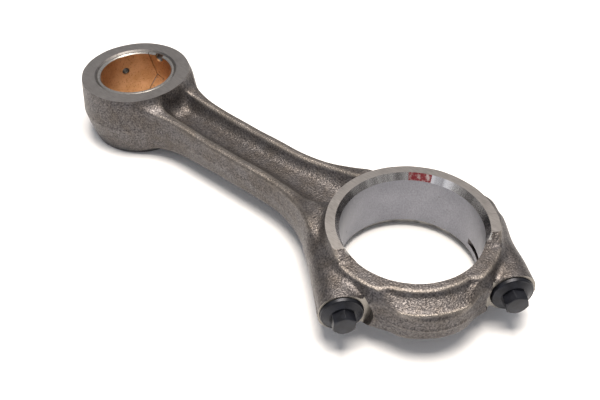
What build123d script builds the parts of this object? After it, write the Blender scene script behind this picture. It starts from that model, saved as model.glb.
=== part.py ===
from build123d import *
import os
from math import acos, asin, cos, degrees, radians, sin, sqrt

# Connecting rod of a diesel engine, lying flat. All sizes are in millimetres.
# The origin is the centre of the big-end bore, on the rod's mid-plane. +Z runs along both bores,
# and the small end lies towards -X. The big end is split on a slant, so its cap leaves along CAP_OFF.
# "Along" and "off" are distances along the parting plane and off it, from the bore's centre.

# ---- Rod -------------------------------------------------------------------------------------
CENTRE_DISTANCE = 200.0     # from the big-end bore to the small-end bore
SPLIT_ANGLE = 48.5          # between the rod's long axis and the parting plane
FLARE_R = 70.0              # where the shank widens into either end
EDGE_ROUND = 1.8            # rounding that the forging die leaves

# ---- Small end -------------------------------------------------------------------------------
SMALL_OUTER_R = 31.8
SMALL_WIDTH = 38.0
SMALL_BORE_R = 23.25        # housing that the bush is pressed into
SMALL_BORE_CHAMFER = 1.0
OIL_HOLE_R = 2.25
OIL_HOLE_ANGLE = 162.0      # round the small end, from +X
OIL_HOLE_Z = 7.4

# ---- Bush: a rolled steel strip lined with bronze --------------------------------------------
BUSH_BOND_R = 22.0          # where the bronze is bonded to the steel
PIN_R = 21.0                # bore for the gudgeon pin
BUSH_WIDTH = 37.0
BUSH_CHAMFER = 0.6
NOTCH_WIDTH = 5.5           # oil notch in the bush's upper edge
NOTCH_DEPTH = 4.5
NOTCH_ANGLE = 98.0

# ---- Shank: an I section lying on its side ---------------------------------------------------
SHANK_HALF_WIDTH = 15.3
SHANK_HEIGHT = 20.4
WEB_THICKNESS = 7.6
POCKET_HALF_WIDTH = 10.4
POCKET_START_X = -163.0     # end of the pocket beside the small end
POCKET_CORNER_R = 8.0
POCKET_DRAFT = 14.0
POCKET_FLOOR_R = 3.0
POCKET_END_HALF_WIDTH = 16.0
SHANK_FLARE_X = -85.0       # where the straight shank ends and the big end's flare begins

# ---- Big end ---------------------------------------------------------------------------------
BIG_BORE_R = 34.5           # housing of the two bearing shells
BIG_WIDTH = 35.0
THRUST_R = 41.2             # ground thrust face
THRUST_END_OFF = 11.8       # the thrust face stops here, on the cap
BIG_CHAMFER_R = 36.6        # outer edge of the bore's lead-in chamfer
BIG_CHAMFER_DEPTH = 4.0
SKIRT_R = 43.5              # forged wall under the thrust face, on the rod's side
SKIRT_HEIGHT = 27.0
SKIRT_END_OFF = 6.0
CAP_HEIGHT = 27.0           # the forged cap is lower than the ground thrust face
CAP_RAMP_END_OFF = 18.0     # where the cap's face has come down to that height

# ---- Cap's back ------------------------------------------------------------------------------
BELT_R = 28.0
BELT_CENTRE_OFF = 22.5
BELT_SHELF_R = 41.0         # the belt is a shelf that slopes down from here to its outer edge
BELT_SHELF_Z = 9.9
BELT_EDGE_R = 50.5
BELT_EDGE_Z = 5.5
BELT_FOOT_OFF = 37.5        # shoulder that the spot-facing cutter runs into
BELT_FOOT_HALF_WIDTH = 30.0

# ---- Bolt bosses -----------------------------------------------------------------------------
BOLT_ALONG = 39.5           # of each bolt's axis, from the bore's centre
BOSS_R = 10.8
BOSS_REAR_OFF = -29.5
BOSS_REAR_ROUND = 4.0
FAR_BOSS_REAR_OFF = -26.5   # the far boss ends behind its bolt in a taper
FAR_BOSS_REAR_R = 7.4
FAR_BOSS_TAPER_OFF = -8.0
FAR_BOSS_REAR_ROUND = 2.5
SHOULDER_R = 7.6            # rear corner of the shoulder that carries each boss
SHOULDER_REAR_OFF = -17.0
SHOULDER_HEIGHT = 16.0
SEAT_OFF = 34.2             # spot-faced seat under each bolt's flange
SPOT_FACE_R = 13.5
TOOL_OVERRUN = 12.0         # how far a cutting tool runs past the metal

# ---- Bolt holes ------------------------------------------------------------------------------
HOLE_R = 4.2
THREAD_HOLE_R = 4.1
THREAD_START_OFF = -8.0
THREAD_END_OFF = -24.5

# ---- Bolts. The thread is a plain cylinder of its outer diameter ------------------------------
FLANGE_R = 10.2
FLANGE_RIM = 1.7
FLANGE_CONE_R = 6.4
FLANGE_HEIGHT = 3.1
HEX_ACROSS_FLATS = 10.2
HEX_HEIGHT = 5.1
HEX_BEVEL = 0.6
BOLT_R = 3.95
WAIST_R = 3.4
WAIST_TAPER = 1.5
HEAD_LAND_OFF = 28.0        # full-size land under the head ends here
FIT_LAND_OFF = 7.0          # full-size land that crosses the parting plane
BOLT_END_OFF = -22.5
BOLT_TIP_BEVEL = 1.0
BOLTS = {"cap_bolt_side": (-BOLT_ALONG, -5.0), "cap_bolt_foot": (BOLT_ALONG, 15.0)}

# ---- Tang slot: one disc cutter's cut across the joint ----------------------------------------
TANG_CUTTER_R = 12.0
TANG_CUTTER_ALONG = 24.3
TANG_CUTTER_OFF = -1.0
TANG_Z = -9.0
TANG_WIDTH = 3.4

# ---- Directions of the slanted joint ---------------------------------------------------------
ALONG_JOINT = Vector(cos(radians(SPLIT_ANGLE)), sin(radians(SPLIT_ANGLE)), 0)
CAP_OFF = Vector(sin(radians(SPLIT_ANGLE)), -cos(radians(SPLIT_ANGLE)), 0)


def joint_point(along, off):
    """A point on the mid-plane, given along the parting plane and off it."""
    return ALONG_JOINT * along + CAP_OFF * off


def across_joint(along, off):
    """A plane parallel to the parting plane: local X runs along the joint and local Y is +Z."""
    return Plane(origin=joint_point(along, off), x_dir=ALONG_JOINT, z_dir=CAP_OFF)


def lengthwise(along):
    """The mid-plane seen from below, with local X along the joint and local Y on a bolt's axis."""
    return Plane(origin=joint_point(along, 0), x_dir=ALONG_JOINT, z_dir=(0, 0, -1))


def oil_hole_plane():
    """A plane across the oil hole, at the small end's axis."""
    turn = radians(OIL_HOLE_ANGLE)
    return Plane(origin=(-CENTRE_DISTANCE, 0, OIL_HOLE_Z), z_dir=(cos(turn), sin(turn), 0))


# ---- Shank, and the flares that lead into both ends ------------------------------------------
flare_reach = SMALL_OUTER_R + FLARE_R
flare_centre_y = SHANK_HALF_WIDTH + FLARE_R
small_flare_x = -CENTRE_DISTANCE + sqrt(flare_reach**2 - flare_centre_y**2)
small_flare_turn = 90 - degrees(acos((small_flare_x + CENTRE_DISTANCE) / flare_reach))
# The flare on the side away from the cap is tangent to the skirt.
far_flare_r = (SHANK_FLARE_X**2 + SHANK_HALF_WIDTH**2 - SKIRT_R**2) / (2 * (SKIRT_R - SHANK_HALF_WIDTH))
far_flare_turn = degrees(asin(-SHANK_FLARE_X / (SKIRT_R + far_flare_r)))

with BuildPart() as shank:
    with BuildSketch():
        with BuildLine():
            near_small = CenterArc((small_flare_x, -flare_centre_y), FLARE_R, 90, small_flare_turn)
            Line((small_flare_x, -SHANK_HALF_WIDTH), (SHANK_FLARE_X, -SHANK_HALF_WIDTH))
            near_big = CenterArc((SHANK_FLARE_X, -flare_centre_y), FLARE_R, 90, SPLIT_ANGLE - 90)
            far_big = CenterArc(
                (SHANK_FLARE_X, SHANK_HALF_WIDTH + far_flare_r), far_flare_r, -90, far_flare_turn
            )
            Line((SHANK_FLARE_X, SHANK_HALF_WIDTH), (small_flare_x, SHANK_HALF_WIDTH))
            far_small = CenterArc((small_flare_x, flare_centre_y), FLARE_R, -90, -small_flare_turn)
            Polyline(near_big @ 1, joint_point(-BOLT_ALONG, 0), (0, 0), far_big @ 1)
            Polyline(far_small @ 1, (-CENTRE_DISTANCE, 0), near_small @ 1)
        make_face()
    extrude(amount=SHANK_HEIGHT / 2, both=True)
    fillet(shank.faces().filter_by(Axis.Z).edges(), EDGE_ROUND)

# ---- Pocket in each face of the shank, which leaves a web between two flanges ----------------
pocket_depth = (SHANK_HEIGHT - WEB_THICKNESS) / 2
with BuildPart() as pocket:
    with BuildSketch(Plane.XY.offset(SHANK_HEIGHT / 2)) as pocket_mouth:
        with BuildLine():
            Polyline(
                (POCKET_START_X, -POCKET_HALF_WIDTH),
                (SHANK_FLARE_X, -POCKET_HALF_WIDTH),
                (-SKIRT_R, -POCKET_END_HALF_WIDTH),
                (-BIG_BORE_R, -POCKET_END_HALF_WIDTH),
                (-BIG_BORE_R, POCKET_END_HALF_WIDTH),
                (-SKIRT_R, POCKET_END_HALF_WIDTH),
                (SHANK_FLARE_X, POCKET_HALF_WIDTH),
                (POCKET_START_X, POCKET_HALF_WIDTH),
                close=True,
            )
        make_face()
        fillet(pocket_mouth.vertices().group_by(Axis.X)[0], POCKET_CORNER_R)
    extrude(amount=-pocket_depth, taper=POCKET_DRAFT)
    fillet(pocket.faces().sort_by(Axis.Z)[0].edges(), POCKET_FLOOR_R)
    mirror(about=Plane.XY)

# ---- Bolt bosses, from behind the joint to the bolts' seats ----------------------------------
inner_reach = (BOLT_ALONG + BIG_BORE_R) / 2
with BuildPart() as near_boss:
    with BuildSketch(across_joint(0, BOSS_REAR_OFF)):
        with Locations((-BOLT_ALONG, 0)):
            Circle(BOSS_R)
        with Locations((-inner_reach, 0)):
            Rectangle(BOLT_ALONG - BIG_BORE_R, 2 * BOSS_R)
    extrude(amount=SEAT_OFF - BOSS_REAR_OFF)
    fillet(near_boss.faces().group_by(Axis((0, 0, 0), CAP_OFF))[0].edges(), BOSS_REAR_ROUND)

with BuildPart() as far_boss:
    with BuildSketch(across_joint(0, FAR_BOSS_TAPER_OFF)):
        with Locations((BOLT_ALONG, 0)):
            Circle(BOSS_R)
        with Locations((inner_reach, 0)):
            Rectangle(BOLT_ALONG - BIG_BORE_R, 2 * BOSS_R)
    extrude(amount=SEAT_OFF - FAR_BOSS_TAPER_OFF)
    with BuildSketch(across_joint(BOLT_ALONG, FAR_BOSS_TAPER_OFF)):
        Circle(BOSS_R)
    with BuildSketch(across_joint(BOLT_ALONG, FAR_BOSS_REAR_OFF)):
        Circle(FAR_BOSS_REAR_R)
    loft()
    fillet(far_boss.faces().group_by(Axis((0, 0, 0), CAP_OFF))[0].edges(), FAR_BOSS_REAR_ROUND)

# ---- Belt round the cap's back, and its foot beside each bolt --------------------------------
with BuildPart() as belt:
    with BuildSketch():
        with Locations(joint_point(0, BELT_CENTRE_OFF)):
            Circle(BELT_R)
        with Locations(joint_point(0, BELT_FOOT_OFF)):
            Rectangle(
                2 * BELT_FOOT_HALF_WIDTH,
                BELT_FOOT_OFF,
                rotation=SPLIT_ANGLE,
                align=(Align.CENTER, Align.MIN),
            )
    extrude(amount=BELT_SHELF_Z, both=True)
    with BuildSketch(Plane.XZ):
        with BuildLine():
            Polyline(
                (0, -BELT_SHELF_Z),
                (BELT_SHELF_R, -BELT_SHELF_Z),
                (BELT_EDGE_R, -BELT_EDGE_Z),
                (BELT_EDGE_R, BELT_EDGE_Z),
                (BELT_SHELF_R, BELT_SHELF_Z),
                (0, BELT_SHELF_Z),
                close=True,
            )
        make_face()
    revolve(axis=Axis.Z, mode=Mode.INTERSECT)

# ---- Thrust ring: full width on the rod, and a ramp down to the forged height on the cap ------
with BuildPart() as ring:
    with BuildSketch(Plane(origin=(0, 0, 0), x_dir=CAP_OFF, z_dir=ALONG_JOINT)):
        with BuildLine():
            Polyline(
                (-THRUST_R, -BIG_WIDTH / 2),
                (THRUST_END_OFF, -BIG_WIDTH / 2),
                (CAP_RAMP_END_OFF, -CAP_HEIGHT / 2),
                (THRUST_R, -CAP_HEIGHT / 2),
                (THRUST_R, CAP_HEIGHT / 2),
                (CAP_RAMP_END_OFF, CAP_HEIGHT / 2),
                (THRUST_END_OFF, BIG_WIDTH / 2),
                (-THRUST_R, BIG_WIDTH / 2),
                close=True,
            )
        make_face()
    extrude(amount=THRUST_R, both=True)
    with BuildSketch():
        Circle(THRUST_R)
    extrude(amount=BIG_WIDTH, both=True, mode=Mode.INTERSECT)

# ---- The whole forging, before the cap is parted from the rod --------------------------------
with BuildPart() as forging:
    add(shank.part)
    add(pocket.part, mode=Mode.SUBTRACT)
    # Small-end barrel
    with BuildSketch():
        with Locations((-CENTRE_DISTANCE, 0)):
            Circle(SMALL_OUTER_R)
    extrude(amount=SMALL_WIDTH / 2, both=True)
    # Skirt round the rod's part of the big end
    with BuildSketch():
        Circle(SKIRT_R)
        with Locations(joint_point(0, SKIRT_END_OFF)):
            Rectangle(
                2 * SKIRT_R,
                2 * SKIRT_R,
                rotation=SPLIT_ANGLE,
                align=(Align.CENTER, Align.MIN),
                mode=Mode.INTERSECT,
            )
    extrude(amount=SKIRT_HEIGHT / 2, both=True)
    add(belt.part)
    # Shoulder that carries each boss on the skirt
    for side in (-1, 1):
        with BuildSketch():
            Circle(SKIRT_R)
            with Locations(joint_point(side * BOLT_ALONG, SHOULDER_REAR_OFF)):
                Circle(SHOULDER_R)
            make_hull()
            with Locations(joint_point(0, SKIRT_END_OFF)):
                Rectangle(
                    4 * SKIRT_R,
                    2 * SKIRT_R,
                    rotation=SPLIT_ANGLE,
                    align=(Align.CENTER, Align.MIN),
                    mode=Mode.INTERSECT,
                )
        extrude(amount=SHOULDER_HEIGHT / 2, both=True)
    add(near_boss.part)
    add(far_boss.part)
    add(ring.part)

    # Bores, and the lead-in chamfer at each end of both
    with BuildSketch():
        Circle(BIG_BORE_R)
        with Locations((-CENTRE_DISTANCE, 0)):
            Circle(SMALL_BORE_R)
    extrude(amount=SMALL_WIDTH, both=True, mode=Mode.SUBTRACT)
    for face_turn in (0, 180):
        with Locations(Rotation(face_turn, 0, 0)):
            with Locations((0, 0, (BIG_WIDTH - BIG_CHAMFER_DEPTH) / 2)):
                Cone(BIG_BORE_R, BIG_CHAMFER_R, BIG_CHAMFER_DEPTH, mode=Mode.SUBTRACT)
            with Locations((-CENTRE_DISTANCE, 0, (SMALL_WIDTH - SMALL_BORE_CHAMFER) / 2)):
                Cone(
                    SMALL_BORE_R,
                    SMALL_BORE_R + SMALL_BORE_CHAMFER,
                    SMALL_BORE_CHAMFER,
                    mode=Mode.SUBTRACT,
                )
    # Oil hole from the outside of the small end to its bore
    with BuildSketch(oil_hole_plane()):
        Circle(OIL_HOLE_R)
    extrude(amount=SMALL_OUTER_R + TOOL_OVERRUN, mode=Mode.SUBTRACT)
    # Spot-faces under the bolts' flanges, and the bolt holes: clearance, then tapping size
    with BuildSketch(across_joint(0, SEAT_OFF)):
        with Locations((-BOLT_ALONG, 0), (BOLT_ALONG, 0)):
            Circle(SPOT_FACE_R)
    extrude(amount=TOOL_OVERRUN, mode=Mode.SUBTRACT)
    with BuildSketch(across_joint(0, THREAD_START_OFF)):
        with Locations((-BOLT_ALONG, 0), (BOLT_ALONG, 0)):
            Circle(HOLE_R)
    extrude(amount=SEAT_OFF - THREAD_START_OFF + TOOL_OVERRUN, mode=Mode.SUBTRACT)
    with BuildSketch(across_joint(0, THREAD_END_OFF)):
        with Locations((-BOLT_ALONG, 0), (BOLT_ALONG, 0)):
            Circle(THREAD_HOLE_R)
    extrude(amount=THREAD_START_OFF - THREAD_END_OFF, mode=Mode.SUBTRACT)
    # Tang slot
    with BuildSketch(Plane.XY.offset(TANG_Z - TANG_WIDTH / 2)):
        with Locations(joint_point(TANG_CUTTER_ALONG, TANG_CUTTER_OFF)):
            Circle(TANG_CUTTER_R)
    extrude(amount=TANG_WIDTH, mode=Mode.SUBTRACT)

# ---- Rod and cap: the forging parted at the joint ---------------------------------------------
with BuildPart() as rod_body:
    add(forging.part)
    split(bisect_by=across_joint(0, 0), keep=Keep.BOTTOM)

with BuildPart() as bearing_cap:
    add(forging.part)
    split(bisect_by=across_joint(0, 0), keep=Keep.TOP)


# ---- Bush: steel outside, bronze inside -------------------------------------------------------
def bush_layer(inner_r, outer_r, chamfered_r):
    """One layer of the rolled bush, with its end chamfer, oil hole and oil notch."""
    with BuildPart() as layer:
        with BuildSketch():
            with Locations((-CENTRE_DISTANCE, 0)):
                Circle(outer_r)
                Circle(inner_r, mode=Mode.SUBTRACT)
        extrude(amount=BUSH_WIDTH / 2, both=True)
        circles = layer.edges().filter_by(GeomType.CIRCLE)
        rims = circles.filter_by(lambda rim: abs(rim.radius - chamfered_r) < BUSH_CHAMFER / 2)
        chamfer(rims, BUSH_CHAMFER)
        with BuildSketch(oil_hole_plane()):
            Circle(OIL_HOLE_R)
        extrude(amount=SMALL_OUTER_R, mode=Mode.SUBTRACT)
        notch_turn = radians(NOTCH_ANGLE)
        notch_plane = Plane(
            origin=(-CENTRE_DISTANCE, 0, BUSH_WIDTH / 2), z_dir=(cos(notch_turn), sin(notch_turn), 0)
        )
        with BuildSketch(notch_plane):
            SlotCenterToCenter(2 * NOTCH_DEPTH - NOTCH_WIDTH, NOTCH_WIDTH, rotation=90)
        extrude(amount=SMALL_OUTER_R, mode=Mode.SUBTRACT)
    return layer.part


with BuildPart() as small_end_bush_backing:
    add(bush_layer(BUSH_BOND_R, SMALL_BORE_R, SMALL_BORE_R))

with BuildPart() as small_end_bush_lining:
    add(bush_layer(PIN_R, BUSH_BOND_R, PIN_R))


# ---- Bolts -----------------------------------------------------------------------------------
def cap_bolt(along, hex_turn):
    """One bolt in its place: turned outline first, then the hexagon on top of the flange."""
    flange_top = SEAT_OFF + FLANGE_HEIGHT
    waist_start = HEAD_LAND_OFF - WAIST_TAPER
    waist_end = FIT_LAND_OFF + WAIST_TAPER
    with BuildPart() as bolt:
        with BuildSketch(lengthwise(along)):
            with BuildLine():
                Polyline(
                    (0, BOLT_END_OFF),
                    (BOLT_R - BOLT_TIP_BEVEL, BOLT_END_OFF),
                    (BOLT_R, BOLT_END_OFF + BOLT_TIP_BEVEL),
                    (BOLT_R, FIT_LAND_OFF),
                    (WAIST_R, waist_end),
                    (WAIST_R, waist_start),
                    (BOLT_R, HEAD_LAND_OFF),
                    (BOLT_R, SEAT_OFF),
                    (FLANGE_R, SEAT_OFF),
                    (FLANGE_R, SEAT_OFF + FLANGE_RIM),
                    (FLANGE_CONE_R, flange_top),
                    (0, flange_top),
                    close=True,
                )
            make_face()
        revolve(axis=Axis(joint_point(along, 0), CAP_OFF))
        with BuildSketch(across_joint(along, flange_top)):
            RegularPolygon(HEX_ACROSS_FLATS / 2, 6, major_radius=False, rotation=30 + hex_turn)
        extrude(amount=HEX_HEIGHT)
        chamfer(bolt.faces().sort_by(Axis(joint_point(along, 0), CAP_OFF))[-1].edges(), HEX_BEVEL)
    return bolt.part


# ---- Files -----------------------------------------------------------------------------------
os.makedirs("parts", exist_ok=True)

rod_body.part.label = "rod_body"
export_step(rod_body.part, "parts/rod_body.step")

bearing_cap.part.label = "bearing_cap"
export_step(bearing_cap.part, "parts/bearing_cap.step")

small_end_bush_backing.part.label = "small_end_bush_backing"
export_step(small_end_bush_backing.part, "parts/small_end_bush_backing.step")

small_end_bush_lining.part.label = "small_end_bush_lining"
export_step(small_end_bush_lining.part, "parts/small_end_bush_lining.step")

for name, (along, hex_turn) in BOLTS.items():
    with BuildPart() as placed_bolt:
        add(cap_bolt(along, hex_turn))
    placed_bolt.part.label = name
    export_step(placed_bolt.part, f"parts/{name}.step")
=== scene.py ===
# %% [markdown]
# A connecting rod joins a diesel engine's piston to its crankshaft. This one lies flat on a pale
# floor. It is a steel forging whose two eyes are machined, with a bronze-lined bush pressed into
# the small eye, and a cap split off the big eye on a slant and held by two flanged bolts.
# The CAD model gives every size and every moving body. This lesson builds what the eye sees on
# top of it: the soft shapes of the forging, the cut faces, the threads and the finishes.

# %% Load the CAD parts and list their nodes
import itertools
import math

import bpy
import numpy as np
from mathutils import Matrix, Vector


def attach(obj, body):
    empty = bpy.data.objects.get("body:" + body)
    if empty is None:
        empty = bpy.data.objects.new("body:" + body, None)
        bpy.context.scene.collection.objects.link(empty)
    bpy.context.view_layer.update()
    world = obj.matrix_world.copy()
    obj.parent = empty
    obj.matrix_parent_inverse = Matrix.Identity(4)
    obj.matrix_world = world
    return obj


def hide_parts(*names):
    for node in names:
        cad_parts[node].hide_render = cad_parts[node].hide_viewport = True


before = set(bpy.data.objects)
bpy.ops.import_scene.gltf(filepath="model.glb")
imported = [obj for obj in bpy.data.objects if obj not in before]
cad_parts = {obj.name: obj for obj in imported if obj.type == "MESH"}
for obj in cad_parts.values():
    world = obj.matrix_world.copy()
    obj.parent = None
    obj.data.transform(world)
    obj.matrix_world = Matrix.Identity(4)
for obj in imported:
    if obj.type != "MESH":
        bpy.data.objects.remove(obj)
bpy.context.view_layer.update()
print("CAD nodes:", sorted(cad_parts))

# %% [markdown]
# All shapes are drawn in millimetres, because that is how the part is dimensioned, and turned to
# metres when a mesh is made. The origin is the centre of the big eye, +Z runs along both bores and
# the small eye lies towards -X. The cap's joint is slanted, so most of the big eye is easier to
# describe along the joint and off it. "Off" points from the rod to the cap, along the bolts.

# %% Units and the joint's own directions
MM = 0.001
SPLIT_ANGLE = math.radians(48.5)
ALONG = Vector((math.cos(SPLIT_ANGLE), math.sin(SPLIT_ANGLE), 0))
OFF = Vector((math.sin(SPLIT_ANGLE), -math.cos(SPLIT_ANGLE), 0))
UP = Vector((0, 0, 1))
SMALL_EYE = Vector((-200, 0, 0))


def joint_point(along, off, up=0.0):
    """A point given along the joint, off it, and above the mid-plane, in millimetres."""
    return ALONG * along + OFF * off + UP * up


print("the cap lifts off towards", [round(c, 3) for c in OFF])

# %% [markdown]
# A drop forging has no sharp edge anywhere: every inside corner is a fillet where the metal flowed,
# and every outside edge is rounded by the die. That is hard to draw with planes and bevels, and
# easy with a distance field, a function that is negative inside the metal and positive outside.
# Two fields are joined with a soft minimum, which leaves a fillet, or cut with a soft maximum,
# which leaves a rounded edge. The number that goes with each is how far the rounding reaches.

# %% Soft joins and cuts
def joined(a, b, reach):
    """The union of two fields, with a fillet where they meet."""
    overlap = np.maximum(reach - np.abs(a - b), 0) / reach
    return np.minimum(a, b) - overlap**2 * reach / 4


def trimmed(a, b, reach):
    """Where both fields hold metal, with a rounded edge between them."""
    return -joined(-a, -b, reach)


def ease(value, start, end):
    """0 before start, 1 after end, and a smooth change between them."""
    share = np.clip((value - start) / (end - start), 0, 1)
    return share * share * (3 - 2 * share)


# %% [markdown]
# The shank is an I section on its side. Its outline runs straight beside the pocket and flares
# into both eyes on arcs. Its height grows towards the eyes as well. The pocket is one smooth valley
# from flange to flange, because a die with steep walls would hold on to the forging.

# %% Shank
FLARE_R = 70.0
SHANK_HALF_WIDTH = 15.3
SMALL_FLARE_X = -144.44
BIG_FLARE_X = -85.0
NEAR_FLARE_X = -83.5          # the flare that runs on into the near boss
NEAR_FLARE_ALONG = -49.2
FAR_FLARE_R = 98.7
DRAFT = 0.10                 # how much a forged wall leans, per millimetre of height
SHANK_HALF_HEIGHT = 9.4
RISE_TO_SMALL_EYE = 3.2
RISE_TO_BIG_EYE = 2.2
SHANK_ROUNDING = 2.4
WEB_HALF = 3.8
VALLEY_HALF_WIDTH = 10.2
VALLEY_WIDENING = 4.6
VALLEY_POWER = 3.5           # higher gives a flatter floor and steeper sides
VALLEY_ROUNDING = 1.4
SMALL_END_X = -186           # the shank fades out here, inside the small eye
SMALL_END_FADE = 12
BIG_END_X = -30
BIG_END_FADE = 14


def shank_outline(x, y):
    """Distance to the shank's outline, seen from above."""
    flare_y = SHANK_HALF_WIDTH + FLARE_R
    small_flare = FLARE_R - np.hypot(x - SMALL_FLARE_X, np.abs(y) - flare_y)
    straight = np.abs(y) - SHANK_HALF_WIDTH
    near_arc = FLARE_R - np.hypot(x - NEAR_FLARE_X, y + flare_y)
    boss_line = NEAR_FLARE_ALONG - (x * ALONG.x + y * ALONG.y)
    past_arc = (x - NEAR_FLARE_X) * OFF.x + (y + flare_y) * OFF.y > 0
    near_flare = np.where(past_arc, boss_line, near_arc)
    far_flare = FAR_FLARE_R - np.hypot(x - BIG_FLARE_X, y - SHANK_HALF_WIDTH - FAR_FLARE_R)
    big_flare = np.where(y < 0, near_flare, far_flare)
    return np.where(x < SMALL_FLARE_X, small_flare, np.where(x > BIG_FLARE_X, big_flare, straight))


def shank_field(x, y, height):
    """The shank with its valley. height is the distance from the mid-plane."""
    small_end_share = np.clip((-110 - x) / 55, 0, 1.2)
    big_end_share = np.clip((x + 80) / 30, 0, 1.2)
    top = SHANK_HALF_HEIGHT + RISE_TO_SMALL_EYE * small_end_share**2 + RISE_TO_BIG_EYE * big_end_share**2
    side = shank_outline(x, y) + DRAFT * height - 0.5
    solid = trimmed(side, height - top, SHANK_ROUNDING)
    pocket_half = VALLEY_HALF_WIDTH + VALLEY_WIDENING * ease(x, -86, -42)
    across = np.minimum(np.abs(y) / pocket_half, 1.25)
    floor = WEB_HALF + (top - WEB_HALF) * across**VALLEY_POWER
    slope = (top - WEB_HALF) * VALLEY_POWER * across ** (VALLEY_POWER - 1) / pocket_half
    valley = (height - floor) / np.sqrt(1 + slope**2)
    shank = trimmed(solid, valley, VALLEY_ROUNDING)
    return trimmed(trimmed(shank, SMALL_END_X - x, SMALL_END_FADE), x - BIG_END_X, BIG_END_FADE)


print("shank height at mid-length:", 2 * SHANK_HALF_HEIGHT, "mm over a web of", 2 * WEB_HALF, "mm")

# %% [markdown]
# The small eye is a plain barrel, a little wider at the die's parting line. The big eye is a ring
# whose wall leans less on the rod than on the cap. On the rod the ring is ground to full width.
# On the cap it drops down a rough ramp to the forged height, which saves weight.

# %% Small eye and big eye
BARREL_R = 34.0
BARREL_DRAFT = 0.12
BARREL_DRAW_IN = 0.005
BARREL_STOCK = 21            # the barrel's forged half-height, before grinding
THRUST_HEIGHT = 17.5
RAMP_START = 11.8
RAMP_END = 17.5
CAP_HEIGHT = 13.5
ROD_WALL_R = 43.3
ROD_WALL_DRAFT = 0.12
CAP_WALL_R = 39.0
CAP_WALL_SPREAD = 3.0        # how much wider the cap's wall stands beside the bolts
CAP_WALL_LEAN = 0.6
RING_ROUNDING = 1.4


def barrel_field(x, y, z):
    """The small eye's barrel, which the lower die draws in towards its end."""
    radius = BARREL_R - BARREL_DRAFT * np.abs(z) - BARREL_DRAW_IN * np.minimum(z, 0) ** 2
    return np.maximum(np.hypot(x - SMALL_EYE.x, y) - radius, np.abs(z) - BARREL_STOCK)


def ring_field(x, y, along, off, height):
    """The big eye's ring. Its top comes down a ramp from the thrust face to the cap."""
    spread = ease(np.abs(along), 17, 25)
    rod_wall = ROD_WALL_R - ROD_WALL_DRAFT * height
    lean = CAP_WALL_LEAN - 0.25 * spread
    below_top = CAP_HEIGHT - np.clip(height, 9, CAP_HEIGHT)
    cap_wall = CAP_WALL_R + CAP_WALL_SPREAD * spread + lean * below_top
    wall = rod_wall + (cap_wall - rod_wall) * ease(off, 8, 20)
    climb = np.clip((RAMP_END - off) / (RAMP_END - RAMP_START), 0, 1.4)
    top = CAP_HEIGHT + (THRUST_HEIGHT - CAP_HEIGHT) * climb
    return trimmed(np.hypot(x, y) - wall, height - top, RING_ROUNDING)


# %% [markdown]
# Round the cap's back runs a belt, a low shelf that stiffens it. Each bolt sits in a boss with
# a rounded section, and a shoulder carries the boss on the ring behind it.

# %% Belt, bosses and shoulders
BOLT_ALONG = 39.5
SEAT_OFF = 34.2
BOSS_REAR_OFF = -29.5
FAR_BOSS_REAR_OFF = -26.5


BELT_CENTRE_OFF = 22.5
BELT_R = 28.2
BELT_DRAFT = 0.08
FOOT_HALF_WIDTH = 30
FOOT_OFF = 38
SHELF_START_R = 41.0
SHELF_Z = 10.8
SHELF_SLOPE = 0.49
RIM_R = 48.0
RIM_HEIGHT = 0.7
RIM_WIDTH = 1.1
FLANK_Z = 12.4
FLANK_SLOPE = 1.1
BELT_ROUNDING = 1.2


def belt_field(along, off, height):
    """The belt. At the cap's back its top is a sloping scoop with a slight rim."""
    radius = np.hypot(along, off)
    arc = np.hypot(along, off - BELT_CENTRE_OFF) - (BELT_R - BELT_DRAFT * height)
    foot = np.maximum(np.abs(along) - FOOT_HALF_WIDTH, np.maximum(off - FOOT_OFF, -off))
    scooped = 1 - ease(np.abs(along), 15, 24)
    rim = RIM_HEIGHT * np.exp(-(((radius - RIM_R) / RIM_WIDTH) ** 2))
    scoop = SHELF_Z + rim - SHELF_SLOPE * np.maximum(radius - SHELF_START_R, 0)
    flank = FLANK_Z - FLANK_SLOPE * np.maximum(radius - SHELF_START_R - 1, 0)
    shelf = scooped * scoop + (1 - scooped) * flank
    return trimmed(joined(arc, foot, 5), (height - shelf) / math.hypot(1, SHELF_SLOPE), BELT_ROUNDING)


BOSS_CENTRE_ALONG = 39.6
BOSS_CORNER_R = 9.1
BOSS_FLAT_ALONG = 1.5        # half the flat width between the section's round corners
BOSS_FLAT_UP = 1.8
FAR_WAIST = 1.3
FAR_TAPER = 0.22
FAR_TAPER_OFF = -8
BOSS_ROUNDING = 4
STOCK_OFF = 36.5             # the bosses' forged ends, before the seats are cut


def boss_field(along, off, height):
    """Both bosses. The far one has a slight waist and a tapered rear."""
    far = along > 0
    waist = FAR_WAIST * np.exp(-(((off - 8) / 11) ** 2)) * far
    from_core = np.abs(np.abs(along) - BOSS_CENTRE_ALONG + waist / 2)
    out_along = from_core - BOSS_FLAT_ALONG + waist / 2
    out_up = height - BOSS_FLAT_UP
    corner = np.hypot(np.maximum(out_along, 0), np.maximum(out_up, 0))
    taper = FAR_TAPER * np.maximum(FAR_TAPER_OFF - off, 0) * far
    section = corner + np.minimum(np.maximum(out_along, out_up), 0) - BOSS_CORNER_R + taper
    rear_off = np.where(far, FAR_BOSS_REAR_OFF, BOSS_REAR_OFF)
    return np.maximum(trimmed(section, rear_off - off, BOSS_ROUNDING), off - STOCK_OFF)


SHOULDER_HEIGHT = 8
SHOULDER_ROUNDING = 3.5
SHOULDER_END_OFF = 6


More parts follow.
